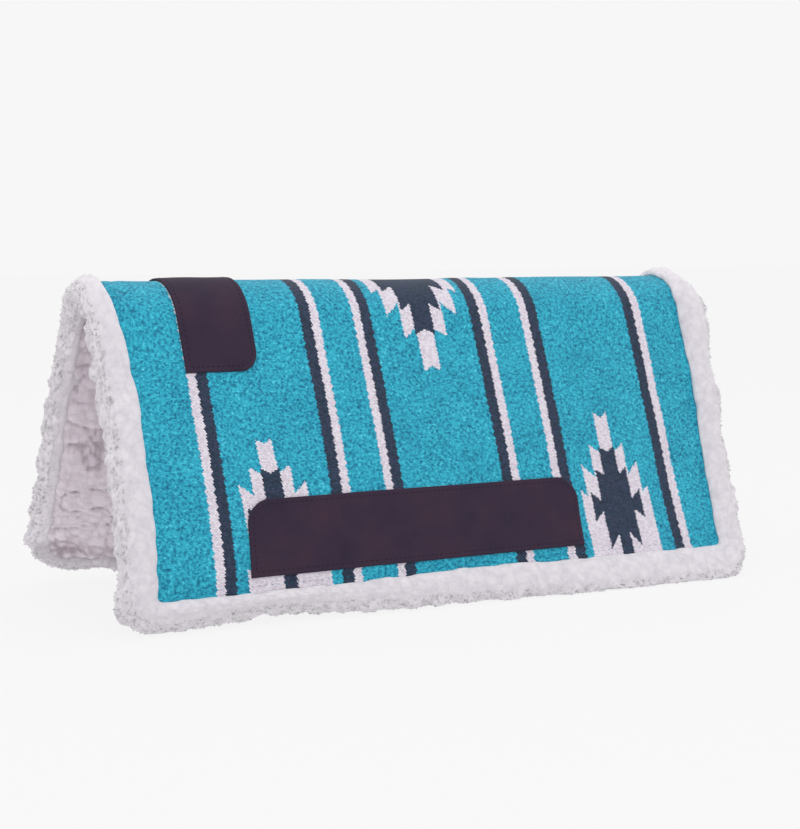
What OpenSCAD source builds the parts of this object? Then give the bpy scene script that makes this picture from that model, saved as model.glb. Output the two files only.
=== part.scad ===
// Western saddle pad, folded over its spine and standing on its two hems like a tent.
// A woven blanket and a felt core lie on a fleece lining, and a fleece binding wraps the edge.
// X runs along the spine (-X is the wither end), the near side is -Y, and the hems rest on z = 0.

/* [Pad] */
// Length of woven blanket that shows along the spine
blanket_len = 680; // [620:10:760]
// Blanket that shows on one side, from the ridge line down to the hem binding
blanket_drop = 343; // [330:1:400]
// Fleece binding that shows round the edge
binding_w = 36; // [30:1:44]

/* [Layers] */
// Thickness of the woven blanket
blanket_t = 3; // [2:0.5:5]
// Thickness of the felt core
core_t = 10; // [6:1:14]
// Thickness of the fleece lining, knit backing and pile together
lining_t = 12; // [8:1:15]
// How far the fleece binding stands proud of the blanket
binding_proud = 8; // [4:1:10]

/* [Fold] */
// Radius of the ridge, to the blanket's outer face
ridge_r = 55; // [48:1:70]
// Slope of each side away from plumb, in degrees
side_lean = 21.5; // [15:0.5:28]

/* [Wear leathers] */
// Thickness of the suede
leather_t = 2.5; // [1.5:0.5:4]
// Length of the side leather along the spine direction
side_leather_len = 396; // [300:2:420]
// Height of the side leather
side_leather_h = 76; // [60:2:90]
// Blanket left bare in front of the side leather
side_leather_gap = 100; // [60:2:140]
// Strip of blanket left bare between the side leather and the hem binding
side_leather_hem_gap = 16; // [12:1:30]
// Width of the wither leather along the spine
wither_leather_w = 80; // [60:2:100]
// How far the wither leather reaches down each side from the ridge line
wither_leather_drop = 120; // [105:1:150]
// Blanket left bare in front of the wither leather
wither_leather_gap = 58; // [30:1:80]

/* [Thread] */
// Width of a stitched thread
thread_w = 1; // [0.6:0.1:1.5]
// Height of a thread above the face that it lies on
thread_h = 0.6; // [0.4:0.1:1]
// Distance of the leather stitching from the leather's edge
leather_stitch_in = 5; // [4:0.5:8]
// Distance of the binding seam from the binding
seam_in = 8; // [5:1:12]

/* [Hidden] */
$fn = 96;
half_len = blanket_len / 2;
pad_t = blanket_t + core_t + lining_t;
// blanket and core run on under the binding by this much
tuck = 20;
tuck_t = blanket_t + core_t;
half_under = half_len + tuck;
half_over = half_len + binding_w;
// rounding of the binding's outer edge, and of the pad's lower corners seen from the side
edge_r = 14;
corner_r = 30;
// the ridge bends through twice this angle, and each side starts where it ends
ridge_half_angle = 90 - side_lean;
ridge_arc = ridge_r * ridge_half_angle * PI / 180;
side_drop = blanket_drop - ridge_arc;
hem_y = side_drop + binding_w;
// the hem's round underside is cut flat by this much, so that the pad has a face to rest on
hem_flat = 2;
// height of the ridge's centre line above the floor
centre_z = (hem_y - edge_r) * cos(side_lean) + (pad_t - edge_r) * sin(side_lean) + edge_r
    - hem_flat - ridge_r * sin(side_lean);
leather_corner_r = 26;
wither_corner_r = 20;
side_leather_x = side_leather_gap - half_len;
side_leather_y = side_drop - side_leather_hem_gap - side_leather_h;
wither_x = wither_leather_gap - half_len;
wither_wing = wither_leather_drop - ridge_arc;
// rows of quilting: the lower row runs just above the side leather
quilt_gap = 11;
quilt_pitch = 80;
quilt_rows = [side_leather_y - quilt_gap, side_leather_y - quilt_gap - quilt_pitch];

suede = [0.24, 0.18, 0.24];
teal = [0.18, 0.65, 0.76];
felt = [0.45, 0.44, 0.42];
fleece = [0.87, 0.84, 0.87];
thread = [0.20, 0.16, 0.20];
teal_thread = [0.10, 0.45, 0.52];

near = -1;
off = 1;
front = -1;
rear = 1;

// Places a side's flat layout: x along the spine, y down the side, z = 0 on the blanket's face.
module on_side(side) {
    mirror([0, side == near ? 1 : 0, 0])
        translate([0, 0, centre_z])
            rotate([-ridge_half_angle, 0, 0])
                translate([0, 0, ridge_r])
                    children();
}

// Bends a section over the ridge: the section's x is the radius and its y runs along the spine.
module over_ridge(half_angle = ridge_half_angle) {
    translate([0, 0, centre_z])
        rotate([0, 90, 0])
            rotate([0, 0, 180 - half_angle])
                rotate_extrude(angle = 2 * half_angle)
                    children();
}

module slab(x0, x1, y0, y1, z0, z1) {
    translate([x0, y0, z0]) cube([x1 - x0, y1 - y0, z1 - z0]);
}

// Rectangle whose corners are rounded by r0 at the top left, then clockwise as seen from outside.
module rounded_plate(w, h, r_top, r_low_left, r_low_right) {
    difference() {
        square([w, h]);
        if (r_top > 0) {
            corner_waste(0, 0, 1, 1, r_top);
            corner_waste(w, 0, -1, 1, r_top);
        }
        if (r_low_left > 0) corner_waste(0, h, 1, -1, r_low_left);
        if (r_low_right > 0) corner_waste(w, h, -1, -1, r_low_right);
    }
}

// What is cut off a square corner at (x, y) to round it by r; sx and sy point into the plate.
module corner_waste(x, y, sx, sy, r) {
    translate([x, y])
        mirror([sx < 0 ? 1 : 0, 0])
            mirror([0, sy < 0 ? 1 : 0])
                difference() {
                    translate([-1, -1]) square(r + 1);
                    translate([r, r]) circle(r);
                }
}

// Section of the binding: x from its inner edge out to the pad's edge, y above the blanket's face.
module binding_outline() {
    straight = binding_w - edge_r;
    translate([0, -pad_t]) square([straight, pad_t + binding_proud]);
    translate([straight, edge_r - pad_t]) square([edge_r, pad_t + binding_proud - 2 * edge_r]);
    translate([straight, edge_r - pad_t]) circle(edge_r);
    translate([straight, binding_proud - edge_r]) circle(edge_r);
}

// The same section with the slot that the blanket's and core's edge is tucked into.
module binding_section() {
    difference() {
        binding_outline();
        translate([-1, -tuck_t]) square([tuck + 1, tuck_t]);
    }
}

// ---- layers of one side ----

module side_blanket(side) {
    color(teal) on_side(side) slab(-half_under, half_under, 0, side_drop + tuck, -blanket_t, 0);
}

module side_felt_core(side) {
    color(felt) on_side(side)
        slab(-half_under, half_under, 0, side_drop + tuck, -tuck_t, -blanket_t);
}

module side_fleece_lining(side) {
    color(fleece) on_side(side) slab(-half_len, half_len, 0, side_drop, -pad_t, -tuck_t);
}

module side_end_binding(side, end) {
    color(fleece) on_side(side)
        mirror([end == front ? 1 : 0, 0, 0])
            translate([half_len, side_drop, 0])
                rotate([90, 0, 0])
                    linear_extrude(side_drop) binding_section();
}

module side_hem_binding(side) {
    color(fleece) difference() {
        on_side(side) hem_strip();
        translate([-half_over, -half_over, -half_over]) cube([2, 2, 1] * half_over);
    }
}

// The hem binding laid flat, with its two lower corners rounded and its slot cut.
module hem_strip() {
    difference() {
        translate([-half_over, side_drop, 0])
            rotate([90, 0, 90]) linear_extrude(2 * half_over) binding_outline();
        slab(-half_under, half_under, side_drop - 1, side_drop + tuck, -tuck_t, 0);
        translate([-half_over, 0, -2 * pad_t])
            linear_extrude(4 * pad_t) {
                corner_waste(0, hem_y, 1, -1, corner_r);
                corner_waste(2 * half_over, hem_y, -1, -1, corner_r);
            }
    }
}

// ---- wear leathers ----

module side_leather_outline(inset) {
    translate([side_leather_x + inset, side_leather_y + inset])
        rounded_plate(side_leather_len - 2 * inset, side_leather_h - 2 * inset,
            leather_corner_r - inset, 0, 0);
}

module side_leather(side) {
    color(suede) on_side(side) linear_extrude(leather_t) side_leather_outline(0);
}

module side_leather_stitching(side) {
    color(thread) on_side(side)
        translate([0, 0, leather_t]) linear_extrude(thread_h) difference() {
            side_leather_outline(leather_stitch_in);
            side_leather_outline(leather_stitch_in + thread_w);
        }
}

// One wing of the wither leather; its rear lower corner is round and its front one square.
module wither_wing_outline(inset) {
    translate([wither_x + inset, 0])
        rounded_plate(wither_leather_w - 2 * inset, wither_wing - inset,
            0, 0, wither_corner_r - inset);
}

module wither_wing_leather(side) {
    color(suede) on_side(side) linear_extrude(leather_t) wither_wing_outline(0);
}

module wither_wing_stitching(side) {
    color(thread) on_side(side)
        translate([0, 0, leather_t]) linear_extrude(thread_h) difference() {
            wither_wing_outline(leather_stitch_in);
            translate([0, -1]) wither_wing_outline(leather_stitch_in + thread_w);
            translate([wither_x + leather_stitch_in + thread_w, -1])
                square([wither_leather_w - 2 * (leather_stitch_in + thread_w), 2]);
        }
}

module ridge_wither_leather() {
    color(suede) over_ridge() translate([ridge_r, wither_x]) square([leather_t, wither_leather_w]);
}

module ridge_wither_stitching() {
    color(thread) for (x = [wither_x + leather_stitch_in,
                            wither_x + wither_leather_w - leather_stitch_in - thread_w])
        over_ridge() translate([ridge_r + leather_t, x]) square([thread_h, thread_w]);
}

// ---- thread on the blanket ----

// The seam that holds the binding runs down both ends and along the hem.
module side_binding_seam(side) {
    out = half_len - seam_in;
    low = side_drop - seam_in;
    color(teal_thread) on_side(side) linear_extrude(thread_h) difference() {
        translate([-out, 0]) square([2 * out, low]);
        translate([thread_w - out, -1]) square([2 * (out - thread_w), low - thread_w + 1]);
    }
}

module ridge_binding_seam() {
    color(teal_thread) for (x = [-half_len + seam_in, half_len - seam_in - thread_w])
        over_ridge() translate([ridge_r, x]) square([thread_h, thread_w]);
}

module side_quilting(side) {
    reach = half_len - 2 * seam_in;
    color(teal_thread) on_side(side)
        for (y = quilt_rows) slab(-reach, reach, y, y + thread_w, 0, thread_h);
}

// ---- layers over the ridge ----

module ridge_blanket() {
    color(teal) over_ridge()
        translate([ridge_r - blanket_t, -half_under]) square([blanket_t, 2 * half_under]);
}

module ridge_felt_core() {
    color(felt) over_ridge()
        translate([ridge_r - tuck_t, -half_under]) square([core_t, 2 * half_under]);
}

module ridge_fleece_lining() {
    color(fleece) over_ridge()
        translate([ridge_r - pad_t, -half_len]) square([lining_t, 2 * half_len]);
}

module ridge_binding(end) {
    color(fleece) over_ridge()
        mirror([0, end == front ? 1 : 0])
            translate([ridge_r, half_len]) mirror([1, -1]) binding_section();
}

side_blanket(near);  // near_blanket
side_felt_core(near);  // near_felt_core
side_fleece_lining(near);  // near_fleece_lining
side_end_binding(near, front);  // near_front_binding
side_end_binding(near, rear);  // near_rear_binding
side_hem_binding(near);  // near_hem_binding
side_leather(near);  // near_side_leather
side_leather_stitching(near);  // near_side_leather_stitching
side_binding_seam(near);  // near_binding_seam
side_quilting(near);  // near_quilting
wither_wing_leather(near);  // near_wither_leather
wither_wing_stitching(near);  // near_wither_stitching
ridge_blanket();
ridge_felt_core();
ridge_fleece_lining();
ridge_binding(front);  // ridge_front_binding
ridge_binding(rear);  // ridge_rear_binding
ridge_binding_seam();
ridge_wither_leather();
ridge_wither_stitching();
side_blanket(off);  // off_blanket
side_felt_core(off);  // off_felt_core
side_fleece_lining(off);  // off_fleece_lining
side_end_binding(off, front);  // off_front_binding
side_end_binding(off, rear);  // off_rear_binding
side_hem_binding(off);  // off_hem_binding
side_leather(off);  // off_side_leather
side_leather_stitching(off);  // off_side_leather_stitching
side_binding_seam(off);  // off_binding_seam
side_quilting(off);  // off_quilting
wither_wing_leather(off);  // off_wither_leather
wither_wing_stitching(off);  // off_wither_stitching
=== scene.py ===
"""A folded western saddle pad: woven blanket, felt core, fleece lining and edge, suede wear leathers.

Every piece is built in cloth coordinates and laid on the pad by on_pad():
x along the spine, s round the pad from the ridge (near side negative) and n above the blanket's face.
"""

import math

import bpy
import numpy as np
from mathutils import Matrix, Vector


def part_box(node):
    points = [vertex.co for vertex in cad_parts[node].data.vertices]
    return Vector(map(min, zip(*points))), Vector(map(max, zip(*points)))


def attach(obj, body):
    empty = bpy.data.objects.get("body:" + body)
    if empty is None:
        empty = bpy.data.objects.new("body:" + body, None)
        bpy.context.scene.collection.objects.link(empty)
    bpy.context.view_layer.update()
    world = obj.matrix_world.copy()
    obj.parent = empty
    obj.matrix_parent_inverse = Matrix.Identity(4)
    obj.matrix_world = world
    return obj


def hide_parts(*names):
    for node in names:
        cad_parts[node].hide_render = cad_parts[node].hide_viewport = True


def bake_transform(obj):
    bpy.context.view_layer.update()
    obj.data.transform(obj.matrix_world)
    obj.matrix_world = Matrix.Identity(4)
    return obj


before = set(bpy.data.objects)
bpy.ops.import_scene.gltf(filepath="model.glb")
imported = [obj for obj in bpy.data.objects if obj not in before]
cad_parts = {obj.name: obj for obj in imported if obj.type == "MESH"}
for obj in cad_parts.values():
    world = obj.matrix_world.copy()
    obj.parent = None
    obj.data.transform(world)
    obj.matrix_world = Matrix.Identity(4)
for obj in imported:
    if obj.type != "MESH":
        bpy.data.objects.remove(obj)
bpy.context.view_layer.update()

MM = 0.001

# The pad's shape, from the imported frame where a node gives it
RIDGE_R = 55 * MM
SIDE_LEAN = math.radians(21.5)
RIDGE_HALF_ANGLE = math.pi / 2 - SIDE_LEAN
RIDGE_ARC = RIDGE_R * RIDGE_HALF_ANGLE
CENTRE_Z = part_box("ridge_blanket")[1].z - RIDGE_R
HALF_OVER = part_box("ridge_rear_binding")[1].x
BINDING_W = 36 * MM
BINDING_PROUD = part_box("ridge_rear_binding")[1].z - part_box("ridge_blanket")[1].z
HALF_LEN = HALF_OVER - BINDING_W
HALF_DROP = 343 * MM
EDGE_S = HALF_DROP + BINDING_W
TUCK = 20 * MM
LINING_LAP = 22 * MM
EDGE_R = 7 * MM
EDGE_STEP = 2.5 * MM
EDGE_POINTS = 44

# How the near side has settled: its belly, twist and flare outward, its slip along the spine, its drop
NEAR_BELLY = 3.5 * MM
BELLY_START = 40 * MM
NEAR_TWIST = -12.5 * MM
NEAR_FLARE = 27.3 * MM
NEAR_SLIP = -14 * MM
NEAR_SLIP_SPREAD = -5.5 * MM
NEAR_DROP = 5 * MM

# How the off side has settled
OFF_BELLY = 1.5 * MM
OFF_FLARE = 12 * MM
OFF_SLIP = 1.5 * MM
OFF_FRONT_LIFT = 9 * MM
OFF_CORNER_LIFT = 10 * MM

# The front of the ridge, and how close to the floor the cloth starts to flatten
RIDGE_RISE = 3.5 * MM
RIDGE_DROOP = 11 * MM
FLOOR_REACH = 4 * MM

# The layers' thicknesses, and the gap that the visual core leaves under the blanket
BLANKET_T = 3 * MM
CORE_T = 10 * MM
CORE_GAP = 3.5 * MM
PAD_T = 25 * MM

# The leathers, with each one's corner radii in the order that make_leather() takes them
LEATHER_T = 2.5 * MM
LEATHER_GAP = 0.3 * MM
SIDE_X = (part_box("near_side_leather")[0].x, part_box("near_side_leather")[1].x)
SIDE_S = (251 * MM, 327 * MM)
SIDE_RADII = (26 * MM, 26 * MM, 0.0, 0.0)
WITHER_SHIFT = -3 * MM
WITHER_X = tuple(corner.x + WITHER_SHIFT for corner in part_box("ridge_wither_leather"))
WITHER_S = 120 * MM
WITHER_RADII = (0.0, 20 * MM, 0.0, 20 * MM)

# The rows of thread. A stitch is its pitch, length and radius.
STITCH_INSET = 5 * MM
LEATHER_STITCH = (5.5 * MM, 3.9 * MM, 0.45 * MM)
SEAM_INSET = 8 * MM
SEAM_R = 9 * MM
SEAM_STITCH = (7 * MM, 4.6 * MM, 0.35 * MM)
QUILT_ROWS = (160 * MM, 240 * MM)
QUILT_INSET = 16 * MM
QUILT_STITCH = (8 * MM, 5 * MM, 0.35 * MM)
THREAD_SINK = -0.1 * MM

# The loose tips of pile along the fleece edge
TIP_COUNT = 4200
TIP_LENGTH = (2.5 * MM, 5.5 * MM)
TIP_R = 0.8 * MM

BODIES = ("near_side", "off_side")

# The studio
CAMERA_PLACE = (-1.015, -1.802, 0.389)
CAMERA_TILT = 0.100
CAMERA_TURN = -0.513
CAMERA_LENS = 82.37
CAMERA_SENSOR = 36.0
FLOOR_HALF = 12.0
FLOOR_Z = -0.0004
FLOOR_GLOW = 0.855


# ---------------- noise and shapes

def smooth(value, low, high):
    """0 below low, 1 above high and a smooth step between."""
    t = np.clip((value - low) / (high - low), 0.0, 1.0)
    return t * t * (3 - 2 * t)


def bell(value, centre, width):
    """A bump of height 1 at centre."""
    return np.exp(-(((value - centre) / width) ** 2))


def lattice(ix, iy, iz, seed):
    """A repeatable random number from -1 to 1 for each point of a whole-number grid."""
    h = ix * 374761393 + iy * 668265263 + iz * 2246822519 + seed * 3266489917
    h = h & 0xFFFFFFFF
    h = ((h ^ (h >> 13)) * 1274126177) & 0xFFFFFFFF
    h = ((h ^ (h >> 16)) * 2654435761) & 0xFFFFFFFF
    h = h ^ (h >> 15)
    return h / 2147483647.5 - 1.0


def noise(points, period, seed):
    """Smooth noise from -1 to 1 at points, with bumps about one period across."""
    p = points / period
    base = np.floor(p).astype(np.int64)
    f = p - base
    f = f * f * f * (f * (f * 6 - 15) + 10)
    total = 0.0
    for dx in (0, 1):
        wx = f[..., 0] if dx else 1 - f[..., 0]
        for dy in (0, 1):
            wy = f[..., 1] if dy else 1 - f[..., 1]
            for dz in (0, 1):
                wz = f[..., 2] if dz else 1 - f[..., 2]
                corner = lattice(base[..., 0] + dx, base[..., 1] + dy, base[..., 2] + dz, seed)
                total = total + wx * wy * wz * corner
    return total


def drift(points, period, seed):
    """Three noises as a vector, to push points about before another noise is taken at them."""
    return np.stack([noise(points, period, seed + k) for k in (0, 1, 2)], -1)


def cells(points, period, seed):
    """Distances, in periods, from points to the nearest and second nearest of scattered centres."""
    p = points / period
    base = np.floor(p).astype(np.int64)
    first = np.full(p.shape[:-1], 9.0)
    second = first.copy()
    for step in np.ndindex(3, 3, 3):
        cell = base + np.array(step) - 1
        spread = [lattice(cell[..., 0], cell[..., 1], cell[..., 2], seed + k) for k in (0, 1, 2)]
        centre = cell + 0.5 + 0.42 * np.stack(spread, -1)
        distance = np.linalg.norm(p - centre, axis=-1)
        second = np.minimum(second, np.maximum(first, distance))
        first = np.minimum(first, distance)
    return first, second


def drape(x, a, side):
    """How far the cloth stands out from the plain profile, at x and a distance a from the ridge."""
    rearward = x / HALF_LEN
    down = a / EDGE_S
    belly = NEAR_BELLY * np.sin(math.pi * np.clip((a - BELLY_START) / (HALF_DROP - BELLY_START), 0, 1))
    near = belly + rearward * (NEAR_TWIST * down + NEAR_FLARE * down ** 6)
    off = OFF_BELLY * np.sin(math.pi * down) + OFF_FLARE * down ** 1.8 * (0.65 - 0.35 * rearward)
    return np.where(side < 0, near, off)


def slip(x, a, side):
    """How far the near side has slid forward along the spine, and the off side back."""
    near = (NEAR_SLIP + NEAR_SLIP_SPREAD * x / HALF_LEN) * (a / HALF_DROP) ** 2
    return np.where(side < 0, near, OFF_SLIP * np.sin(math.pi * a / EDGE_S))


def settle(x, a, side):
    """How far down each side the cloth has settled: the near side hangs, the off front corner lifts."""
    rearward = x / HALF_LEN
    in_hem = smooth(a, HALF_DROP, EDGE_S - 4 * MM)
    hem_drop = (1 + 8 * np.clip(rearward / 0.6, -1, 1) + 7 * smooth(-rearward, 0.7, 0.95)) * MM
    near = NEAR_DROP * smooth(a, 50 * MM, 115 * MM) * (1 - in_hem) + hem_drop * in_hem
    lift = OFF_FRONT_LIFT * smooth(-rearward, 0.0, 0.8) + OFF_CORNER_LIFT * smooth(-rearward, 0.6, 1.1)
    return np.where(side < 0, near, -lift * smooth(a, 200 * MM, EDGE_S))


def ridge_rise(x, a):
    """The front of the ridge stands a little higher, and its very end droops."""
    rise = RIDGE_RISE * smooth(-x / HALF_LEN, 0.0, 0.7) * (1 - smooth(a, 60 * MM, 160 * MM))
    at_end = smooth(-x, HALF_LEN - 4 * MM, HALF_OVER - 6 * MM)
    return rise - RIDGE_DROOP * at_end * (1 - smooth(a, 60 * MM, 150 * MM))


def on_pad(x, s, n):
    """The points of the folded pad for cloth coordinates x, s and n."""
    side = np.where(s < 0, -1.0, 1.0)
    a = np.abs(s)
    out = drape(x, a, side)
    turn = np.minimum(a / RIDGE_R, RIDGE_HALF_ANGLE)
    down = np.maximum(a - RIDGE_ARC, 0.0)
    lift = np.where(side < 0, np.minimum(out, 0.0), np.maximum(out, 0.0))
    down = down + lift * math.tan(SIDE_LEAN) * smooth(a, RIDGE_ARC, HALF_DROP) + settle(x, a, side)
    radius = RIDGE_R + n + out
    across = radius * np.sin(turn) + down * math.sin(SIDE_LEAN)
    z = CENTRE_Z + radius * np.cos(turn) - down * math.cos(SIDE_LEAN) + ridge_rise(x, a)
    near_floor = FLOOR_REACH * np.exp(np.minimum(z - FLOOR_REACH, 0.0) / FLOOR_REACH)
    z = np.where(z < FLOOR_REACH, near_floor, z)
    return np.stack([x + slip(x, a, side), side * across, z], -1)


def relief(x, s):
    """The blanket's own bumps: soft waves, quilting grooves, the edge seam and the hem's puckers."""
    a = np.abs(s)
    p = np.stack([x, s, np.zeros_like(x)], -1)
    waves = 1.0 * noise(p, 95 * MM, 3) + 0.5 * noise(p, 37 * MM, 4)
    grooves = 0.0
    for row in QUILT_ROWS:
        grooves = grooves + 1.3 * bell(a, row, 5 * MM) * (0.7 + 0.3 * noise(p, 14 * MM, 5))
    from_seam = np.minimum(HALF_LEN - np.abs(x), HALF_DROP - a) - SEAM_INSET
    grooves = grooves + 1.1 * bell(from_seam, 0.0, 4 * MM)
    pucker = noise(p * np.array([1.0, 0.25, 1.0]), 16 * MM, 6)
    puckers = 1.1 * pucker * smooth(a, HALF_DROP - 45 * MM, HALF_DROP - 5 * MM)
    return (waves - grooves + puckers) * MM


# ---------------- mesh builders

def finish_mesh(name, cloth, faces, material, painted_shade=None, skew=0.0):
    """Makes a piece from cloth coordinates, and keeps them in the mesh for its material.

    Skew is how much of the side's slip the cloth was cut to, so that its pattern hangs straight.
    """
    cloth = np.asarray(cloth, float).reshape(-1, 3)
    x, s, n = cloth[:, 0], cloth[:, 1], cloth[:, 2]
    points = on_pad(x, s, n)
    cloth = np.stack([x + skew * slip(x, np.abs(s), np.sign(s)), s, n], -1)
    mesh = bpy.data.meshes.new(name)
    mesh.from_pydata(points.tolist(), [], faces)
    mesh.update()
    mesh.polygons.foreach_set("use_smooth", np.ones(len(mesh.polygons), bool))
    kept = mesh.attributes.new("cloth", "FLOAT_VECTOR", "POINT")
    kept.data.foreach_set("vector", cloth.astype(np.float32).ravel())
    if painted_shade is not None:
        shade = mesh.attributes.new("painted_shade", "FLOAT", "POINT")
        shade.data.foreach_set("value", np.asarray(painted_shade, np.float32).ravel())
    mesh.materials.append(material)
    piece = bpy.data.objects.new(name, mesh)
    bpy.context.scene.collection.objects.link(piece)
    return piece


def grid_faces(rows, cols, first=0, flip=False, wrap_rows=False, wrap_cols=False):
    """Quads over a grid of rows by cols vertices."""
    faces = []
    for i in range(rows if wrap_rows else rows - 1):
        for j in range(cols if wrap_cols else cols - 1):
            a = first + i * cols + j
            b = first + i * cols + (j + 1) % cols
            c = first + ((i + 1) % rows) * cols + (j + 1) % cols
            d = first + ((i + 1) % rows) * cols + j
            faces.append((a, d, c, b) if flip else (a, b, c, d))
    return faces


def slab_faces(rows, cols):
    """Faces of a closed slab: a top grid, a bottom grid after it, and the four edges between."""
    half = rows * cols
    faces = grid_faces(rows, cols) + grid_faces(rows, cols, half, flip=True)
    for j in range(cols - 1):
        faces.append((j + 1, j, half + j, half + j + 1))
        last = (rows - 1) * cols
        faces.append((last + j, last + j + 1, half + last + j + 1, half + last + j))
    for i in range(rows - 1):
        left = i * cols
        right = left + cols - 1
        faces.append((left, left + cols, half + left + cols, half + left))
        faces.append((right + cols, right, half + right, half + right + cols))
    return faces


def slab(name, x, s, top, bottom, material, skew=0.0):
    """A closed slab over grids x and s, from height top to height bottom."""
    rows, cols = x.shape
    upper = np.stack([x, s, top + np.zeros_like(x)], -1).reshape(-1, 3)
    lower = np.stack([x, s, bottom + np.zeros_like(x)], -1).reshape(-1, 3)
    return finish_mesh(name, np.concatenate([upper, lower]), slab_faces(rows, cols), material, skew=skew)


def even_grid(half_x, half_s, step):
    """x and s grids over the whole pad, rows along s."""
    xs = np.linspace(-half_x, half_x, int(2 * half_x / step) + 1)
    ss = np.linspace(-half_s, half_s, int(2 * half_s / step) + 1)
    x, s = np.meshgrid(xs, ss)
    return x, s


# ---------------- shader nodes

def srgb(red, green, blue):
    """A screen colour, 0 to 255, as the linear colour that a shader takes."""
    values = []
    for c in (red, green, blue):
        c = c / 255
        values.append(c / 12.92 if c <= 0.04045 else ((c + 0.055) / 1.055) ** 2.4)
    return (*values, 1.0)


class Field:
    """A number that varies over a surface. Sums and comparisons of fields become Math nodes."""

    def __init__(self, tree, socket):
        self.tree = tree
        self.socket = socket

    def op(self, operation, *others):
        node = self.tree.nodes.new("ShaderNodeMath")
        node.operation = operation
        for place, value in enumerate((self, *others)):
            if isinstance(value, Field):
                self.tree.links.new(value.socket, node.inputs[place])
            else:
                node.inputs[place].default_value = value
        return Field(self.tree, node.outputs[0])

    def __add__(self, other):
        return self.op("ADD", other)

    def __sub__(self, other):
        return self.op("SUBTRACT", other)

    def __mul__(self, other):
        return self.op("MULTIPLY", other)

    def __neg__(self):
        return self.op("MULTIPLY", -1.0)

    def __lt__(self, other):
        return self.op("LESS_THAN", other)

    def __gt__(self, other):
        return self.op("GREATER_THAN", other)

    def abs(self):
        return self.op("ABSOLUTE")

    def floor(self):
        return self.op("FLOOR")

    def fract(self):
        return self.op("FRACT")

    def least(self, other):
        return self.op("MINIMUM", other)

    def either(self, other):
        return self.op("MAXIMUM", other)

    def between(self, low, high):
        return (self > low) * (self < high)


def new_material(name):
    """A material with a Principled shader, as (material, tree, shader)."""
    material = bpy.data.materials.new(name)
    material.use_nodes = True
    tree = material.node_tree
    return material, tree, tree.nodes["Principled BSDF"]


def cloth_vector(tree):
    """The cloth coordinates kept in the mesh, in metres."""
    node = tree.nodes.new("ShaderNodeAttribute")
    node.attribute_name = "cloth"
    return node.outputs["Vector"]


def attribute(tree, name):
    """A number kept in the mesh, as a field."""
    node = tree.nodes.new("ShaderNodeAttribute")
    node.attribute_name = name
    return Field(tree, node.outputs["Fac"])


def split(tree, vector):
    """The x, y and z of a vector, each as a field in millimetres."""
    node = tree.nodes.new("ShaderNodeSeparateXYZ")
    tree.links.new(vector, node.inputs[0])
    return [Field(tree, out) * 1000.0 for out in node.outputs]


def stretched(tree, vector, scale):
    """A vector with each axis scaled, to draw a grain out in one direction."""
    node = tree.nodes.new("ShaderNodeVectorMath")
    node.operation = "MULTIPLY"
    tree.links.new(vector, node.inputs[0])
    node.inputs[1].default_value = scale
    return node.outputs[0]


def noise_field(tree, vector, period, detail=2.0, roughness=0.5):
    """Noise from 0 to 1 with bumps about one period across, in metres."""
    node = tree.nodes.new("ShaderNodeTexNoise")
    tree.links.new(vector, node.inputs["Vector"])
    node.inputs["Scale"].default_value = 1 / period
    node.inputs["Detail"].default_value = detail
    node.inputs["Roughness"].default_value = roughness
    return Field(tree, node.outputs["Fac"])


def ramp(tree, field, stops):
    """A colour for each value of a field, from (position, colour) stops."""
    node = tree.nodes.new("ShaderNodeValToRGB")
    tree.links.new(field.socket, node.inputs[0])
    elements = node.color_ramp.elements
    while len(elements) < len(stops):
        elements.new(0.5)
    for element, (position, colour) in zip(elements, stops):
        element.position = position
        element.color = colour
    return node.outputs["Color"]


def mix(tree, factor, first, second, blend="MIX"):
    """First where factor is 0 and second where it is 1."""
    node = tree.nodes.new("ShaderNodeMix")
    node.data_type = "RGBA"
    node.blend_type = blend
    factor_socket, a, b = node.inputs[0], node.inputs[6], node.inputs[7]
    for socket, value in ((factor_socket, factor), (a, first), (b, second)):
        if isinstance(value, Field):
            value = value.socket
        if isinstance(value, bpy.types.NodeSocket):
            tree.links.new(value, socket)
        else:
            socket.default_value = value
    return node.outputs[2]


def add_bump(tree, shader, height, distance, strength=1.0):
    """Joins a height field to the shader's normal. Distance is the height of a field of 1."""
    node = tree.nodes.new("ShaderNodeBump")
    node.inputs["Strength"].default_value = strength
    node.inputs["Distance"].default_value = distance
    tree.links.new(height.socket, node.inputs["Height"])
    tree.links.new(node.outputs["Normal"], shader.inputs["Normal"])


# ---------------- the blanket's weave

# All in millimetres: a yarn's size along x and s, and each row's shift in yarns
YARN_X = 2.1
YARN_S = 1.6
TWILL = 0.37

# The stripes' edges by distance from the middle, the waves along them, and the shift of the middle ones
# towards the front, which fades with the square of the distance from its centre
STRIPES_DARK = ((62, 74.5), (136, 148.5), (264, 276))
STRIPES_WHITE = ((74.5, 84), (126.5, 136), (276, 285.5))
SCALLOP_PERIOD = 9.0
SCALLOP = 0.55
SHIFT_MOST = 5.5
SHIFT_CENTRE = 80.0
SHIFT_SPREAD = 92.5

# The motifs: one over the ridge, which is the lower ones' outline upside down, and two low on each side
MOTIF_SPLIT = 150.0
TOP_CENTRE = -3.0
TOP_MIRROR = 307.0
TOP_LIMIT = 290.0
LOW_CENTRE = 199.0
LOW_NARROWING = 1.15
FRONT_SHIFT = 16.0
FRONT_LEAN = -0.07
FRONT_LEAN_MIDDLE = 195.0
FRONT_SQUEEZE = 0.3
FRONT_OFFSET = 66.5

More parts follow.
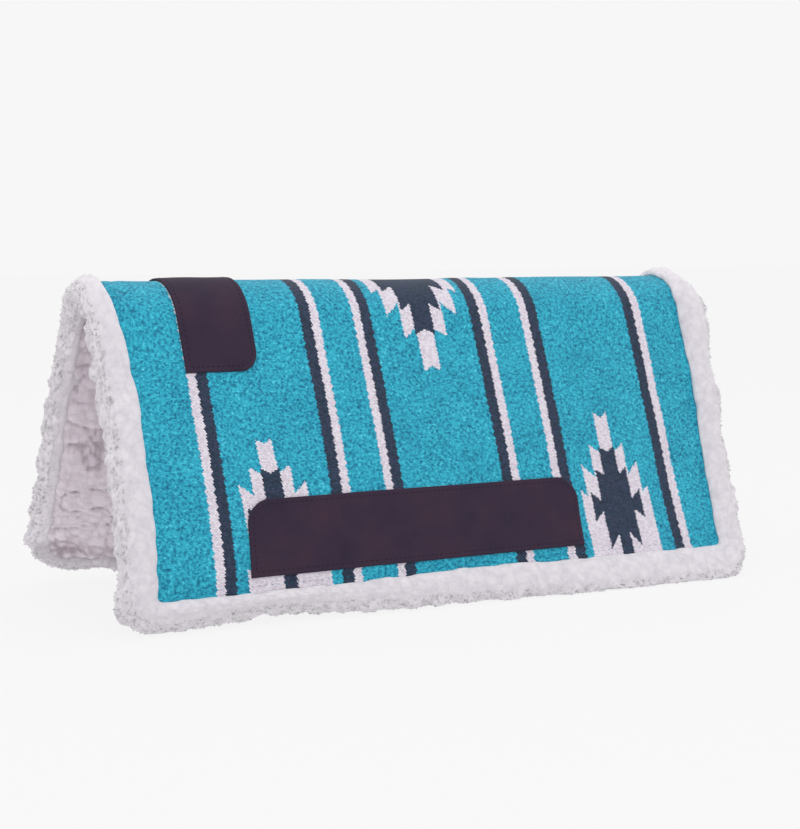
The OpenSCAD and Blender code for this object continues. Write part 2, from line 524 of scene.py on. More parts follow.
# A motif's steps from its tip down: half width, slope and level of the upper edge, and how much lower the
# step begins in the front motif. Each dark step also has the slope and level of its lower edge.
WHITE_TIP_END = 228.0
WHITE_STEPS = (
    (10.0, -0.6, 187.0, 0.0),
    (26.0, -0.6, 233.2, 0.0),
    (43.0, -0.9, 277.4, 0.0),
    (52.0, -0.8, 308.4, 80.0),
)
DARK_STEPS = (
    (12.0, -0.5, 226.0, 0.0, 1.0, 310.0),
    (24.0, -0.6, 259.2, 40.0, 1.0, 310.0),
    (38.0, -0.7, 296.8, 0.0, 0.8, 272.8),
)
STEM_HALF = 8.5
STEM_START = 300.0


def yarn_cells(tree, vector):
    """The cell of yarn that each point lies in: its centre, its own random number and its rounded height."""
    x, s, _ = split(tree, vector)
    v = s * (1 / YARN_S)
    row = v.floor()
    shift = (row * TWILL).fract()
    u = x * (1 / YARN_X) + shift
    column = u.floor()
    centre_x = (column + 0.5 - shift) * YARN_X
    centre_s = (row + 0.5) * YARN_S
    join = tree.nodes.new("ShaderNodeCombineXYZ")
    tree.links.new(column.socket, join.inputs[0])
    tree.links.new(row.socket, join.inputs[1])
    white = tree.nodes.new("ShaderNodeTexWhiteNoise")
    white.noise_dimensions = "2D"
    tree.links.new(join.outputs[0], white.inputs["Vector"])
    own = Field(tree, white.outputs["Value"])
    across = (u.fract() - 0.5) * 2.0
    along = (v.fract() - 0.5) * 2.0
    dome = (across * across * -0.7 + 1.0) * (along * along * -0.8 + 1.0)
    return centre_x, centre_s, own, dome


def motif_fields(half, level, front):
    """The stepped motif: the white field and the dark steps in it.

    Half is the distance from its middle line, level its own scale of distance from the ridge, and front
    is 1 in the front motif.
    """
    white = None
    for wide, slope, start, later in WHITE_STEPS:
        step = (half < wide) * (level > half * slope + front * later + start)
        white = step * (level < WHITE_TIP_END) if white is None else white.either(step)
    dark = (half < STEM_HALF) * (level > STEM_START)
    for wide, slope, start, later, low_slope, end in DARK_STEPS:
        step = (half < wide) * (level > half * slope + front * later + start)
        dark = dark.either(step * (level < half * low_slope + end))
    return white, dark


def stripes(edge, ranges):
    """1 in each range of distances and 0 between them."""
    shown = edge.between(*ranges[0])
    for low, high in ranges[1:]:
        shown = shown.either(edge.between(low, high))
    return shown


def pattern(tree, vector, centre_x, centre_s):
    """Where the white yarn and the dark yarn show, as two fields of 0 or 1."""
    a = centre_s.abs()
    is_front = centre_x < 0.0
    is_top = a < MOTIF_SPLIT
    ragged = noise_field(tree, vector, 7 * MM, 1.0) * 3.0 - 1.5
    scallop = (a * (2 * math.pi / SCALLOP_PERIOD)).op("SINE") * SCALLOP
    from_shift = (centre_x - SHIFT_CENTRE) * (1 / SHIFT_SPREAD)
    shift = (from_shift * from_shift * -1.0 + SHIFT_MOST).either(0.0)
    edge = (centre_x + shift).abs() + scallop + ragged * 0.4
    dark = stripes(edge, STRIPES_DARK)
    white = stripes(edge, STRIPES_WHITE)
    top_half = (centre_x - TOP_CENTRE).abs()
    lean = (a - FRONT_LEAN_MIDDLE) * FRONT_LEAN + FRONT_SHIFT
    low_half = (centre_x.abs() - is_front * lean - LOW_CENTRE).abs() * LOW_NARROWING
    half = low_half + (top_half - low_half) * is_top + ragged * 0.5
    level_top = (-a + TOP_MIRROR).least(TOP_LIMIT)
    level_low = a + is_front * (a * FRONT_SQUEEZE - FRONT_OFFSET)
    level = level_low + (level_top - level_low) * is_top + ragged
    motif_white, motif_dark = motif_fields(half, level, is_front * (-is_top + 1.0))
    dark = dark.either(motif_dark)
    white = white.either(motif_white) * (-motif_dark + 1.0)
    return white, dark


def weave_material():
    """Heathered teal yarn with dark and off-white yarn woven in as stripes and stepped motifs."""
    material, tree, shader = new_material("blanket_weave")
    vector = cloth_vector(tree)
    centre_x, centre_s, own, dome = yarn_cells(tree, vector)
    white, dark = pattern(tree, vector, centre_x, centre_s)
    cloud = noise_field(tree, vector, 45 * MM, 2.0)
    blobs = noise_field(tree, vector, 3.4 * MM, 1.0)
    tone = own * 0.42 + (cloud - 0.5) * 0.3 + (blobs - 0.5) * 1.05 + 0.27
    teal = ramp(tree, tone, (
        (0.00, srgb(12, 84, 116)),
        (0.25, srgb(26, 126, 156)),
        (0.50, srgb(42, 160, 188)),
        (0.78, srgb(58, 184, 208)),
        (1.00, srgb(104, 216, 234)),
    ))
    pale = ramp(tree, own, (
        (0.0, srgb(202, 192, 204)),
        (0.5, srgb(216, 208, 220)),
        (1.0, srgb(228, 223, 232)),
    ))
    slate = ramp(tree, own, (
        (0.0, srgb(34, 44, 62)),
        (0.6, srgb(42, 60, 78)),
        (1.0, srgb(60, 62, 92)),
    ))
    colour = mix(tree, white, teal, pale)
    colour = mix(tree, dark, colour, slate)
    # Painted shade: each yarn's colour darkens towards the gaps between the yarns.
    gap = dome.op("MULTIPLY_ADD", 0.26, 0.79).least(1.0)
    shade = ramp(tree, gap, ((0.0, (0, 0, 0, 1)), (1.0, (1, 1, 1, 1))))
    colour = mix(tree, 1.0, colour, shade, "MULTIPLY")
    tree.links.new(colour, shader.inputs["Base Color"])
    fibres = noise_field(tree, vector, 0.9 * MM, 2.0)
    height = dome + fibres * 0.35 + own * 0.35
    add_bump(tree, shader, height, 0.4 * MM, 0.9)
    rough = own * 0.1 + 0.85
    tree.links.new(rough.socket, shader.inputs["Roughness"])
    shader.inputs["Sheen Weight"].default_value = 0.12
    shader.inputs["Specular IOR Level"].default_value = 0.2
    return material


# ---------------- the other materials

def fleece_material(name, light, mid, deep):
    """Sheared pile: pale tips, painted shade that darkens it in its creases, and soft streaks of fibre."""
    material, tree, shader = new_material(name)
    vector = cloth_vector(tree)
    painted_shade = attribute(tree, "painted_shade")
    clumps = noise_field(tree, vector, 9 * MM, 3.0, 0.6)
    fibres = noise_field(tree, stretched(tree, vector, (1.0, 1.6, 1.0)), 1.6 * MM, 3.0, 0.7)
    curls = noise_field(tree, vector, 4.5 * MM, 1.0, 0.5)
    # The painted shade kept in the mesh pulls the colour towards the deep tone.
    tone = clumps * 0.2 + fibres * 0.12 + curls * 0.1 + painted_shade * 0.7
    colour = ramp(tree, tone, ((0.12, light), (0.55, mid), (1.0, deep)))
    tree.links.new(colour, shader.inputs["Base Color"])
    height = clumps * 0.8 + curls * 1.2 + fibres * 0.8
    add_bump(tree, shader, height, 1.1 * MM, 0.7)
    rough = clumps * 0.1 + 0.88
    tree.links.new(rough.socket, shader.inputs["Roughness"])
    shader.inputs["Specular IOR Level"].default_value = 0.1
    shader.inputs["Sheen Weight"].default_value = 0.25
    shader.inputs["Sheen Roughness"].default_value = 0.6
    shader.inputs["Subsurface Weight"].default_value = 0.55
    shader.inputs["Subsurface Radius"].default_value = (0.007, 0.0065, 0.007)
    shader.inputs["Subsurface Scale"].default_value = 1.0
    return material


def suede_material():
    """Brushed aubergine-brown suede with faint mottling and a fine nap."""
    material, tree, shader = new_material("suede")
    vector = cloth_vector(tree)
    mottle = noise_field(tree, vector, 48 * MM, 4.0, 0.6)
    nap = noise_field(tree, vector, 2.2 * MM, 4.0, 0.65)
    tone = mottle * 0.75 + nap * 0.3
    colour = ramp(tree, tone, (
        (0.25, srgb(42, 33, 48)),
        (0.50, srgb(50, 39, 56)),
        (0.72, srgb(60, 42, 56)),
    ))
    tree.links.new(colour, shader.inputs["Base Color"])
    height = nap + noise_field(tree, vector, 0.6 * MM, 2.0) * 0.4
    add_bump(tree, shader, height, 0.25 * MM, 0.6)
    rough = nap * 0.1 + 0.86
    tree.links.new(rough.socket, shader.inputs["Roughness"])
    shader.inputs["Specular IOR Level"].default_value = 0.12
    shader.inputs["Sheen Weight"].default_value = 0.06
    return material


def felt_material():
    """Grey needled felt, hidden between the blanket and the lining."""
    material, tree, shader = new_material("felt")
    vector = cloth_vector(tree)
    fibres = noise_field(tree, vector, 3 * MM, 4.0, 0.7)
    colour = ramp(tree, fibres, ((0.3, srgb(150, 148, 144)), (0.7, srgb(182, 180, 174))))
    tree.links.new(colour, shader.inputs["Base Color"])
    add_bump(tree, shader, fibres, 0.5 * MM, 0.6)
    shader.inputs["Roughness"].default_value = 0.95
    return material


def thread_material(name, dark, light):
    """Twisted thread: two tones turning round each stitch."""
    material, tree, shader = new_material(name)
    vector = cloth_vector(tree)
    x, s, n = split(tree, vector)
    twist = ((x + s + n) * (2 * math.pi / 0.9)).op("SINE") * 0.5 + 0.5
    colour = ramp(tree, twist, ((0.1, dark), (0.9, light)))
    tree.links.new(colour, shader.inputs["Base Color"])
    add_bump(tree, shader, twist, 0.1 * MM, 0.5)
    shader.inputs["Roughness"].default_value = 0.9
    shader.inputs["Specular IOR Level"].default_value = 0.1
    return material


# ---------------- the layers

def rounded(x, s, radius):
    """Draws in the ends of the rows of a grid, so that its corners are round."""
    half_x, half_s = np.abs(x).max(), np.abs(s).max()
    return x * (half_x - corner_inset(half_s - np.abs(s), radius)) / half_x


def make_blanket(material):
    """The woven blanket, with a margin that lies flat inside the fleece edge."""
    x, s = even_grid(HALF_LEN + TUCK, HALF_DROP + TUCK, 4 * MM)
    x = rounded(x, s, 24 * MM)
    past_edge = np.maximum(np.abs(x) - HALF_LEN, np.abs(s) - HALF_DROP)
    top = relief(x, s) * (1 - smooth(past_edge, -3 * MM, 2 * MM))
    return slab("woven_blanket", x, s, top, -BLANKET_T, material, skew=0.9)


def make_core(material):
    """The felt core, clear of the blanket so that neither cuts the other when the pad opens."""
    x, s = even_grid(HALF_LEN + TUCK - 1 * MM, HALF_DROP + TUCK - 1 * MM, 8 * MM)
    x = rounded(x, s, 26 * MM)
    return slab("felt_core", x, s, -BLANKET_T - CORE_GAP, -BLANKET_T - CORE_T, material)


def pile(points, seed, period):
    """Curly pile as (height, valley): rounded clumps about one period across, parted by soft valleys. The
    valley mask is used to paint shade into the pile's colour.
    """
    warp = drift(points, 2.2 * period, seed + 1) * 0.6 * period
    wander = drift(points, 0.7 * period, seed + 4) * 0.22 * period
    near, second = cells(points + warp + wander, period, seed + 7)
    valley = bell(second - near, 0.0, 0.22)
    height = 1.0 - 1.1 * near ** 2 - 0.5 * valley + 0.35 * noise(points, 0.45 * period, seed + 10)
    return height, valley


def fuzz(points, seed):
    """A different number from -1 to 1 for each place on the mesh, for the roughness of single tufts."""
    cell = np.round(points / (1.0 * MM)).astype(np.int64)
    return lattice(cell[..., 0], cell[..., 1], cell[..., 2], seed)


def round_corners(x, s, half_x, half_s, r):
    """A grid of half sizes half_x and half_s with its four corners drawn in to arcs of radius r."""
    a = np.maximum(np.abs(x) - half_x + r, 0)
    b = np.maximum(np.abs(s) - half_s + r, 0)
    inside = (a <= 0) | (b <= 0)
    pull = np.where(inside, 1.0, np.maximum(a, b) / np.maximum(np.hypot(a, b), 1e-9))
    x = np.sign(x) * (np.abs(x) - a * (1 - pull))
    s = np.sign(s) * (np.abs(s) - b * (1 - pull))
    return x, s


def hem_shade(p):
    """How much painted shade darkens the inner pile along both hems, near the floor."""
    down = np.abs(p[..., 1]) + 8 * MM * noise(p, 24 * MM, 70)
    return smooth(down, HALF_DROP - 14 * MM, HALF_DROP + 4 * MM) * (0.36 + 0.12 * noise(p, 12 * MM, 71))


def make_lining(material):
    """The curly lining inside the pad, with a few longer folds wandering through the pile.

    It laps over the inner side of the fleece edge and sinks into it along an uneven line.
    """
    half_x, half_s = HALF_LEN + LINING_LAP, HALF_DROP + LINING_LAP
    x, s = even_grid(half_x, half_s, 3 * MM)
    inset = np.minimum(half_x - np.abs(x), half_s - np.abs(s))
    x, s = round_corners(x, s, half_x, half_s, EDGE_R + LINING_LAP)
    p = np.stack([x, s, np.zeros_like(x)], -1)
    clumps, parting = pile(p, 20, 13 * MM)
    warp = drift(p, 34 * MM, 31) * 12 * MM
    fold = bell(noise((p + warp) * np.array([0.8, 1.5, 1.0]), 42 * MM, 34), 0.0, 0.09)
    swell = 1.6 * noise(p, 60 * MM, 35) + 0.9 * noise(p, 26 * MM, 38)
    height = (1.9 * clumps - 2.4 * fold + swell + 0.5 * fuzz(p, 36) - 1.0) * MM
    shown = smooth(inset + 4 * MM * noise(p, 19 * MM, 69), 3 * MM, 10 * MM)
    face = -PAD_T - height * shown + 3 * MM * (1 - shown)
    back = np.full_like(x, -BLANKET_T - CORE_T - 0.3 * MM)
    patch = 0.5 + 0.5 * noise(p, 70 * MM, 37)
    # Painted shade: the colour darkens in the folds and the valleys between curls, by an amount that varies
    # at random across the lining, and is painted lighter on the clumps' tops.
    painted_shade = 0.42 * fold + (0.12 + 0.3 * patch) * parting - 0.12 * clumps + 0.26
    painted_shade = np.clip(painted_shade + hem_shade(p), 0, 1)
    cloth = np.concatenate([np.stack([x, s, n], -1).reshape(-1, 3) for n in (back, face)])
    painted_shade = np.concatenate([np.zeros(x.size), painted_shade.ravel()])
    return finish_mesh("fleece_lining", cloth, slab_faces(*x.shape), material, painted_shade=painted_shade)


def ring_path(step):
    """Points round the binding's inner line: its place, and the way out from it, corner arcs included."""
    r = EDGE_R
    turns = []
    for corner, (sx, ss) in enumerate(((1, 1), (-1, 1), (-1, -1), (1, -1))):
        centre = np.array([sx * (HALF_LEN - r), ss * (HALF_DROP - r)])
        start = corner * math.pi / 2
        steps = int((r + BINDING_W) * math.pi / 2 / step)
        for k in range(steps + 1):
            angle = start + math.pi / 2 * k / steps
            turns.append((centre + r * np.array([math.cos(angle), math.sin(angle)]), angle))
    base, way = [], []
    for (p, angle), (q, _) in zip(turns, turns[1:] + turns[:1]):
        out = np.array([math.cos(angle), math.sin(angle)])
        base.append(p)
        way.append(out)
        length = float(np.linalg.norm(q - p))
        if length > 20 * MM:
            count = int(length / step)
            for k in range(1, count):
                base.append(p + (q - p) * k / count)
                way.append(out)
    return np.array(base), np.array(way)


def binding_section(count):
    """The puffy edge in section: distance out e and height n, from the blanket round to the lining.

    A quarter round rises from the blanket, a squarish roll goes round the rim, and the underside dives
    under the lining.
    """
    middle = (BINDING_PROUD - PAD_T) / 2
    crest = BINDING_PROUD + 0.8 * MM
    underside = 2 * middle - crest
    foot = 0.3 * MM
    flat = 13 * MM
    dive = 5 * MM
    squareness = 2 / 2.5
    quarter = count // 4
    points = []
    for angle in np.linspace(math.pi, math.pi / 2, quarter, endpoint=False):
        points.append((flat + flat * math.cos(angle), foot + (crest - foot) * math.sin(angle)))
    for angle in np.linspace(math.pi / 2, -math.pi / 2, count):
        c, d = math.cos(angle), math.sin(angle)
        e = flat + (BINDING_W - flat) * abs(c) ** squareness
        n = middle + (crest - middle) * abs(d) ** squareness * (1 if d > 0 else -1)
        points.append((e, n))
    for k in range(1, quarter):
        points.append((flat * (1 - k / quarter), underside + dive * (k / quarter) ** 3))
    return np.array(points)


def fibre_tips(places, ways, rng):
    """Short curved tips of pile: thin closed spikes of three sides, with their feet in the fleece."""
    count = len(places)
    first = np.cross(ways, rng.normal(size=(count, 3)))
    first = first / np.linalg.norm(first, axis=1)[:, None]
    second = np.cross(ways, first)
    length = rng.uniform(TIP_LENGTH[0], TIP_LENGTH[1], count)[:, None]
    bend = rng.normal(size=(count, 3)) * 0.4
    points = np.empty((count, 7, 3))
    for row, (along, wide) in enumerate(((-0.3, 1.0), (0.5, 0.7))):
        middle = places + (ways * along + bend * along * along) * length
        for k in range(3):
            angle = 2 * math.pi * k / 3
            spoke = math.cos(angle) * first + math.sin(angle) * second
            points[:, 3 * row + k] = middle + TIP_R * wide * spoke
    points[:, 6] = places + (ways + bend) * length
    one = [(0, 2, 1)]
    for k in range(3):
        after = (k + 1) % 3
        one.append((k, after, 3 + after, 3 + k))
        one.append((3 + k, 3 + after, 6))
    faces = [tuple(7 * i + v for v in face) for i in range(count) for face in one]
    return points.reshape(-1, 3), faces


def edge_pile(p, e, n, ends):
    """The pile on the fleece edge as (height, painted shade). Ends fades it out at both ends of the section.
    """
    curl, parting = pile(p, 50, 12 * MM)
    rim = smooth(e, 20 * MM, 34 * MM)
    inward = smooth(-n, 12 * MM, 22 * MM)
    lumps = 1.5 * noise(p, 42 * MM, 61) + 1.0 * noise(p, 17 * MM, 62)
    tufts = 2.6 * noise(p, 8 * MM, 63) + 2.2 * noise(p, 15 * MM, 64) + 0.4 * noise(p, 5 * MM, 68)
    spikes = np.maximum(fuzz(p, 66) - 0.84, 0) * 20 * rim + 0.12 * fuzz(p, 67)
    height = (lumps + (0.5 + 1.4 * inward) * curl + rim * tufts + spikes) * ends * MM
    # Painted shade: darker in the valleys between curls and where the curls are low, more so on the inner
    # side, which as a whole is painted lighter; the hems' painted shade is added on the inner side.
    painted_shade = 0.4 - 0.1 * curl + (0.08 + 0.16 * inward) * parting - 0.24 * inward
    return height, np.clip(painted_shade + hem_shade(p) * inward, 0, 1)


def settle_edge(e, height, out_e, base, top, ends, p):
    """How the edge has settled round the pad, as (distance out, height of the pile)."""
    along_x, along_s = base[:, :1], base[:, 1:]
    ridge = bell(along_s, 0, 70 * MM)
    front = smooth(-along_x, 0.5 * HALF_LEN, 0.9 * HALF_LEN)
    rear = smooth(along_x, 0.5 * HALF_LEN, 0.9 * HALF_LEN)
    # Over the ridge the rear end stands square and the front end lies flatter
    square = bell(e, 31 * MM, 9 * MM) * top
    height = height + ridge * ((1 - front) * 9 * MM * square - front * 6 * MM * top * ends)
    # The pile's line on the blanket wanders, and creeps in along the middle of the near hem
    from_start = np.arange(len(e))
    mid_hem = smooth(-along_s, 0.95 * HALF_DROP, HALF_DROP) * bell(along_x, 0.05 * HALF_LEN, 0.4 * HALF_LEN)
    creep = bell(from_start, 0, 5) * (1.2 * noise(p, 13 * MM, 65) - 0.8) * MM
    creep = creep - 3.5 * MM * mid_hem * bell(from_start, 0, 8)
    out = e + height * out_e + creep
    # At the front of the ridge the blanket shows further out and the edge is narrower
    bare = 13 * MM * front * (1 - smooth(np.abs(along_s), 10 * MM, 150 * MM)) * top
    out = bare + out * (1 - bare / BINDING_W) * (1 - 0.14 * ridge * front)
    # Wider over the near side's rear shoulder, and narrower over the off side's front one
    shoulder = 9 * MM * rear * bell(along_s, -60 * MM, 50 * MM)
    shoulder = shoulder - 6 * MM * front * bell(along_s, 65 * MM, 45 * MM)
    return out * (1 + shoulder / BINDING_W), height


def tuck_walls(base, way):
    """The walls of the slot in the fleece edge, round the margin of the blanket and core."""
    low = -BLANKET_T - CORE_T - 0.4 * MM
    deep = TUCK + 1 * MM
    walls = np.array([(0, low), (deep, low), (deep, 0.2 * MM)])
    place = base[:, None, :] + way[:, None, :] * walls[None, :, :1]
    return np.concatenate([place, np.broadcast_to(walls[None, :, 1:], (len(base), 3, 1))], -1)


def make_binding(material):
    """The fleece edge: one soft roll round the pad, open inside where the blanket and core are tucked."""
    base, way = ring_path(EDGE_STEP)
    e, n = binding_section(EDGE_POINTS).T
    along_e, along_n = np.gradient(e), np.gradient(n)
    size = np.hypot(along_e, along_n)
    out_e, out_n = along_n / size, -along_e / size
    loops, ring = len(base), len(e)
    place = base[:, None, :] + way[:, None, :] * e[None, :, None]
    p = np.concatenate([place, np.broadcast_to(n[None, :, None], (loops, ring, 1))], -1)
    ends = smooth(np.arange(ring), -1, 5) * smooth(ring - 1 - np.arange(ring), -1, 5)
    top = smooth(n, -10 * MM, 0.0)
    height, painted_shade = edge_pile(p, e, n, ends)
    out, height = settle_edge(e, height, out_e, base, top, ends, p)
    sunk = 3.8 * MM * (1 - smooth(e, 12 * MM, 22 * MM)) * (n < -PAD_T / 2)
    level = n + height * out_n + sunk
    outer = np.stack([base[:, :1] + way[:, :1] * out, base[:, 1:] + way[:, 1:] * out, level], -1)
    inner = tuck_walls(base, way)
    cloth = np.concatenate([outer, inner], 1)
    # The slot's hidden walls get the darkest painted shade.
    painted_shade = np.concatenate([painted_shade, np.ones(inner.shape[:2])], 1)
    faces = grid_faces(*cloth.shape[:2], wrap_rows=True, wrap_cols=True)
    rng = np.random.default_rng(11)
    rim = np.flatnonzero((e > 24 * MM) & (np.abs(out_n) < 0.93))
    loop, spot = rng.integers(0, loops, TIP_COUNT), rng.choice(rim, TIP_COUNT)
    ways = np.stack([way[loop, 0] * out_e[spot], way[loop, 1] * out_e[spot], out_n[spot]], -1)
    tips, tip_faces = fibre_tips(outer[loop, spot], ways, rng)
    first = painted_shade.size
    faces = faces + [tuple(first + v for v in face) for face in tip_faces]
    cloth = np.concatenate([cloth.reshape(-1, 3), tips])
    painted_shade = np.concatenate([painted_shade.ravel(), np.full(len(tips), 0.3)])
    return finish_mesh("fleece_binding", cloth, faces, material, painted_shade=painted_shade)


# ---------------- leathers and thread

def corner_inset(distance, radius):
    """How far a rounded corner draws in, at a distance from the edge it rounds into."""
    d = np.clip(radius - distance, 0, radius)
    return radius - np.sqrt(np.maximum(radius * radius - d * d, 0))


def graded(low, high, step, edge):
    """Values from low to high, closer together near both ends."""
    near = np.array([0, 0.15, 0.4, 0.8, 1.4]) * edge
    inner = np.linspace(low + 2.2 * edge, high - 2.2 * edge, int((high - low) / step))
    return np.concatenate([low + near, inner, (high - near)[::-1]])


def make_leather(name, x_range, s_range, radii, material):
    """A patch of leather laid on the blanket.

    radii round its corners: low x and low s, high x and low s, low x and high s, high x and high s.
    """
    edge = 1.4 * MM
    long = x_range[1] - x_range[0]
    part = graded(0.0, 1.0, 5 * MM / long, edge / long)
    rows = [graded(s_range[0], s_range[1], 5 * MM, edge)]
    for r in (radii[0], radii[1]):
        bend = r * (1 - np.cos(np.linspace(0, math.pi / 2, 9)))
        rows = rows + [s_range[0] + bend, s_range[1] - bend]
    rows = np.unique(np.round(np.concatenate(rows), 6))
    from_low, from_high = rows - s_range[0], s_range[1] - rows
    left = x_range[0] + corner_inset(from_low, radii[0]) + corner_inset(from_high, radii[2])
    right = x_range[1] - corner_inset(from_low, radii[1]) - corner_inset(from_high, radii[3])
    x = left[:, None] + (right - left)[:, None] * part[None, :]
    s = np.broadcast_to(rows[:, None], x.shape)
    from_side = np.minimum(x - left[:, None], right[:, None] - x)
    inset = np.minimum(from_side, np.minimum(from_low, from_high)[:, None])
    drop = edge - np.sqrt(np.maximum(edge ** 2 - (edge - np.clip(inset, 0, edge)) ** 2, 0))
    groove = 0.35 * MM * bell(inset, STITCH_INSET, 1.2 * MM)
    lift = LEATHER_GAP + relief(x, s)
    return slab(name, x, s, lift + LEATHER_T - drop * 0.8 - groove, lift, material)


def outline(x_range, s_range, radii, inset):
    """A closed line inside a patch's edge, following its rounded corners."""
    points = []
    corners = (
        (x_range[0], s_range[0], 1, 1, radii[0], math.pi),
        (x_range[1], s_range[0], -1, 1, radii[1], 1.5 * math.pi),
        (x_range[1], s_range[1], -1, -1, radii[3], 0.0),
        (x_range[0], s_range[1], 1, -1, radii[2], 0.5 * math.pi),
    )
    for x, s, sx, ss, radius, start in corners:
        r = max(radius - inset, 0.0)
        centre_x, centre_s = x + sx * (inset + r), s + ss * (inset + r)
        for angle in np.linspace(start, start + math.pi / 2, 8 if r else 1):
            points.append((centre_x + r * math.cos(angle), centre_s + r * math.sin(angle)))
    return points + points[:1]


def along(points, pitch):
    """Even places along a line: each one's middle and direction."""
    points = np.array(points, float)
    steps = np.linalg.norm(np.diff(points, axis=0), axis=1)
    points = np.concatenate([points[:1], points[1:][steps > 1e-7]])
    steps = steps[steps > 1e-7]
    reach = np.concatenate([[0], np.cumsum(steps)])
    at = (np.arange(int(reach[-1] / pitch)) + 0.5) * pitch
    part = np.clip(np.searchsorted(reach, at, side="right") - 1, 0, len(steps) - 1)
    way = np.diff(points, axis=0)[part] / steps[part][:, None]
    return points[part] + way * (at - reach[part])[:, None], way


def make_stitches(name, lines, stitch, height, material):
    """A row of stitches along each line. Each is a small rounded dash lying on the cloth."""
    pitch, length, radius = stitch
    rings = ((-0.5, 0.0), (-0.36, 0.8), (0.0, 1.0), (0.36, 0.8), (0.5, 0.0))
    sides = 6
    cloth, faces = [], []
    for line in lines:
        middles, ways = along(line, pitch)
        for middle, way in zip(middles, ways):
            first = len(cloth)
            count = 0
            for run, wide in rings:
                turns = 1 if wide == 0 else sides
                for k in range(turns):
                    angle = 2 * math.pi * k / sides
                    side = radius * wide * math.cos(angle)
                    up = radius * wide * math.sin(angle)
                    sag = -1.2 * radius * abs(2 * run) ** 3
                    x = middle[0] + way[0] * run * length - way[1] * side
                    s = middle[1] + way[1] * run * length + way[0] * side
                    cloth.append((x, s, up + sag))
                    count += 1
            for k in range(sides):
                after = (k + 1) % sides
                faces.append((first, first + 1 + after, first + 1 + k))
                for row in range(2):
                    a = first + 1 + row * sides
                    faces.append((a + k, a + after, a + sides + after, a + sides + k))
                last = first + count - 1
                faces.append((last, last - sides + k, last - sides + after))
    cloth = np.array(cloth)
    cloth[:, 2] += height + relief(cloth[:, 0], cloth[:, 1])
    return finish_mesh(name, cloth, faces, material)


def mirrored(lines):
    """The same lines on the other side of the ridge."""
    return [[(x, -s) for x, s in line] for line in lines]


# ---------------- camera, lights and floor

def make_camera():
    """The camera, in front of the near side and a little above the ridge."""
    data = bpy.data.cameras.new("camera")
    camera = bpy.data.objects.new("camera", data)
    bpy.context.scene.collection.objects.link(camera)
    camera.location = CAMERA_PLACE
    camera.rotation_euler = (math.pi / 2 - CAMERA_TILT, 0.0, CAMERA_TURN)
    data.lens = CAMERA_LENS
    data.sensor_width = CAMERA_SENSOR
    bpy.context.scene.camera = camera


def area_light(name, place, target, size, power):
    """A soft square light at place that points at target."""
    data = bpy.data.lights.new(name, "AREA")
    data.shape = "SQUARE"
    data.size = size
    data.energy = power
    light = bpy.data.objects.new(name, data)
    bpy.context.scene.collection.objects.link(light)
    light.location = place
    light.rotation_euler = (Vector(target) - Vector(place)).to_track_quat("-Z", "Y").to_euler()


def make_stage():
    """A pale floor that fades into a pale room, and two soft lights."""
    mesh = bpy.data.meshes.new("floor")
    corners = [(sx * FLOOR_HALF, sy * FLOOR_HALF, FLOOR_Z) for sx, sy in ((-1, -1), (1, -1), (1, 1), (-1, 1))]
    mesh.from_pydata(corners, [], [(0, 1, 2, 3)])
    floor = bpy.data.objects.new("floor", mesh)
    bpy.context.scene.collection.objects.link(floor)
    material, _, shader = new_material("floor")
    shader.inputs["Base Color"].default_value = (0.07, 0.07, 0.07, 1)
    shader.inputs["Roughness"].default_value = 1.0
    shader.inputs["Specular IOR Level"].default_value = 0.0
    shader.inputs["Emission Color"].default_value = (1, 1, 1, 1)
    shader.inputs["Emission Strength"].default_value = FLOOR_GLOW
    mesh.materials.append(material)
    world = bpy.data.worlds.new("studio")
    world.use_nodes = True
    background = world.node_tree.nodes["Background"]
    background.inputs["Color"].default_value = (0.93, 0.93, 0.93, 1)
    background.inputs["Strength"].default_value = 1.0
    bpy.context.scene.world = world
    area_light("key", (-1.2, -2.2, 2.2), (0, 0, 0.15), 1.8, 26)
    area_light("top", (0.3, 0.2, 2.6), (0, 0, 0.2), 2.0, 10)
    bpy.context.scene.view_settings.view_transform = "Standard"


# ---------------- the whole pad

def ridge_blend(piece):
    """Bakes the piece's placement into its mesh."""
    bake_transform(piece)


def nodes(kind, *places):
    """The names of the CAD nodes of one kind."""
    return [f"{place}_{kind}" for place in places]


def add_side_leather(side, body, suede, leather_thread):
    """A side's wear leather and its row of thread. The near side mirrors the off side."""
    is_near = side == "near"
    s_range = (-SIDE_S[1], -SIDE_S[0]) if is_near else SIDE_S
    radii = SIDE_RADII[2:] + SIDE_RADII[:2] if is_near else SIDE_RADII
    patch = make_leather(f"{side}_wear_leather", SIDE_X, s_range, radii, suede)
    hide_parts(f"{side}_side_leather")
    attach(patch, body)
    lines = [outline(SIDE_X, SIDE_S, SIDE_RADII, STITCH_INSET)]
    lines = mirrored(lines) if is_near else lines
    height = LEATHER_GAP + LEATHER_T
    row = make_stitches(f"{side}_leather_thread", lines, LEATHER_STITCH, height, leather_thread)
    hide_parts(f"{side}_side_leather_stitching")
    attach(row, body)


def add_wither_leather(suede, leather_thread):
    """The leather over the front of the ridge and its row of thread."""
    s_range = (-WITHER_S, WITHER_S)
    wither = make_leather("wither_leather", WITHER_X, s_range, WITHER_RADII, suede)
    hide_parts(*nodes("wither_leather", "near", "ridge", "off"))
    lines = [outline(WITHER_X, s_range, WITHER_RADII, STITCH_INSET)]
    height = LEATHER_GAP + LEATHER_T
    wither_row = make_stitches("wither_thread", lines, LEATHER_STITCH, height, leather_thread)
    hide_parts(*nodes("wither_stitching", "near", "ridge", "off"))
    return wither, wither_row


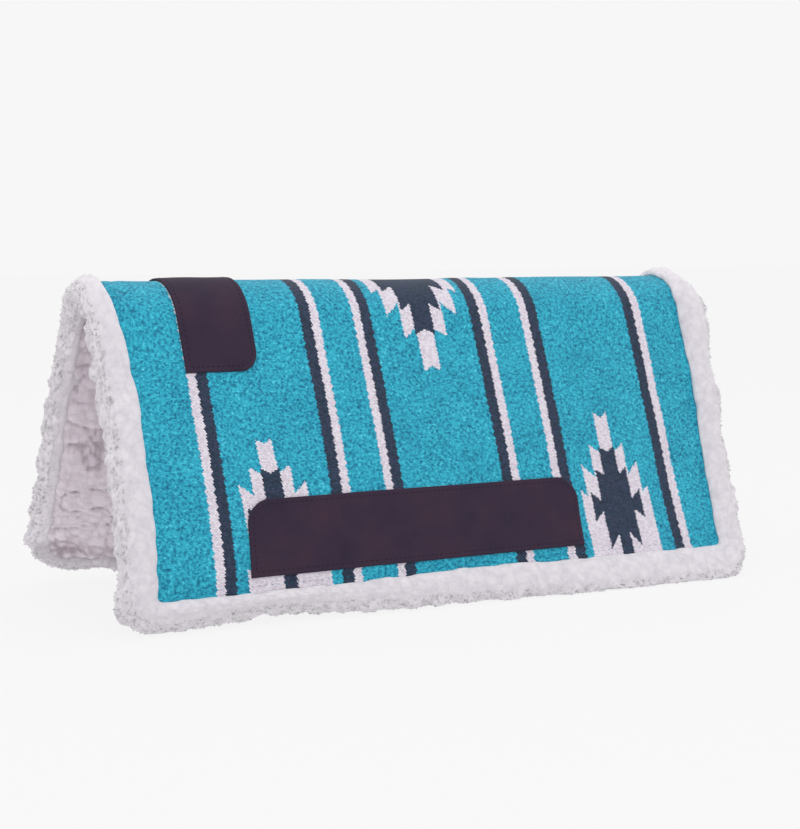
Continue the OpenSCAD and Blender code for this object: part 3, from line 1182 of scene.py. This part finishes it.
def add_blanket_thread(seam_thread):
    """The seam that holds the fleece edge to the blanket, and the quilting rows."""
    around = [outline((-HALF_LEN, HALF_LEN), (-HALF_DROP, HALF_DROP), (SEAM_R,) * 4, SEAM_INSET)]
    seam = make_stitches("binding_seam_thread", around, SEAM_STITCH, THREAD_SINK, seam_thread)
    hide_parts(*nodes("binding_seam", "near", "ridge", "off"))
    end = HALF_LEN - QUILT_INSET
    rows = [[(-end, a), (end, a)] for a in QUILT_ROWS]
    rows = rows + mirrored(rows)
    quilting = make_stitches("quilting_thread", rows, QUILT_STITCH, THREAD_SINK, seam_thread)
    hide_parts(*nodes("quilting", "near", "off"))
    return seam, quilting


def make_pad():
    """Every piece of the pad, and the CAD parts that it stands for, which are hidden."""
    weave = weave_material()
    fleece = fleece_material("fleece", srgb(238, 232, 237), srgb(204, 199, 206), srgb(164, 153, 162))
    # Painted light: the lining is a copy of the fleece whose colours offset the shade inside the pad, lighter
    # in its middle tone than the edge's.
    lining_fleece = fleece_material(
        "lining_fleece", srgb(232, 224, 230), srgb(213, 203, 211), srgb(156, 140, 151)
    )
    suede = suede_material()
    felt = felt_material()
    leather_thread = thread_material("leather_thread", srgb(28, 22, 32), srgb(54, 43, 57))
    seam_thread = thread_material("seam_thread", srgb(18, 92, 118), srgb(34, 132, 158))

    blanket = make_blanket(weave)
    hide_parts(*nodes("blanket", "near", "ridge", "off"))

    core = make_core(felt)
    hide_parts(*nodes("felt_core", "near", "ridge", "off"))

    lining = make_lining(lining_fleece)
    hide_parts(*nodes("fleece_lining", "near", "ridge", "off"))

    binding = make_binding(fleece)
    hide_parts(*nodes("front_binding", "near", "ridge", "off"))
    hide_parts(*nodes("rear_binding", "near", "ridge", "off"))
    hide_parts(*nodes("hem_binding", "near", "off"))

    for side, body in zip(("near", "off"), BODIES):
        add_side_leather(side, body, suede, leather_thread)
    wither, wither_row = add_wither_leather(suede, leather_thread)
    seam, quilting = add_blanket_thread(seam_thread)

    ridge_blend(blanket)
    ridge_blend(quilting)
    ridge_blend(core)
    ridge_blend(lining)
    ridge_blend(binding)
    ridge_blend(wither)
    ridge_blend(wither_row)
    ridge_blend(seam)


make_camera()
make_stage()
make_pad()
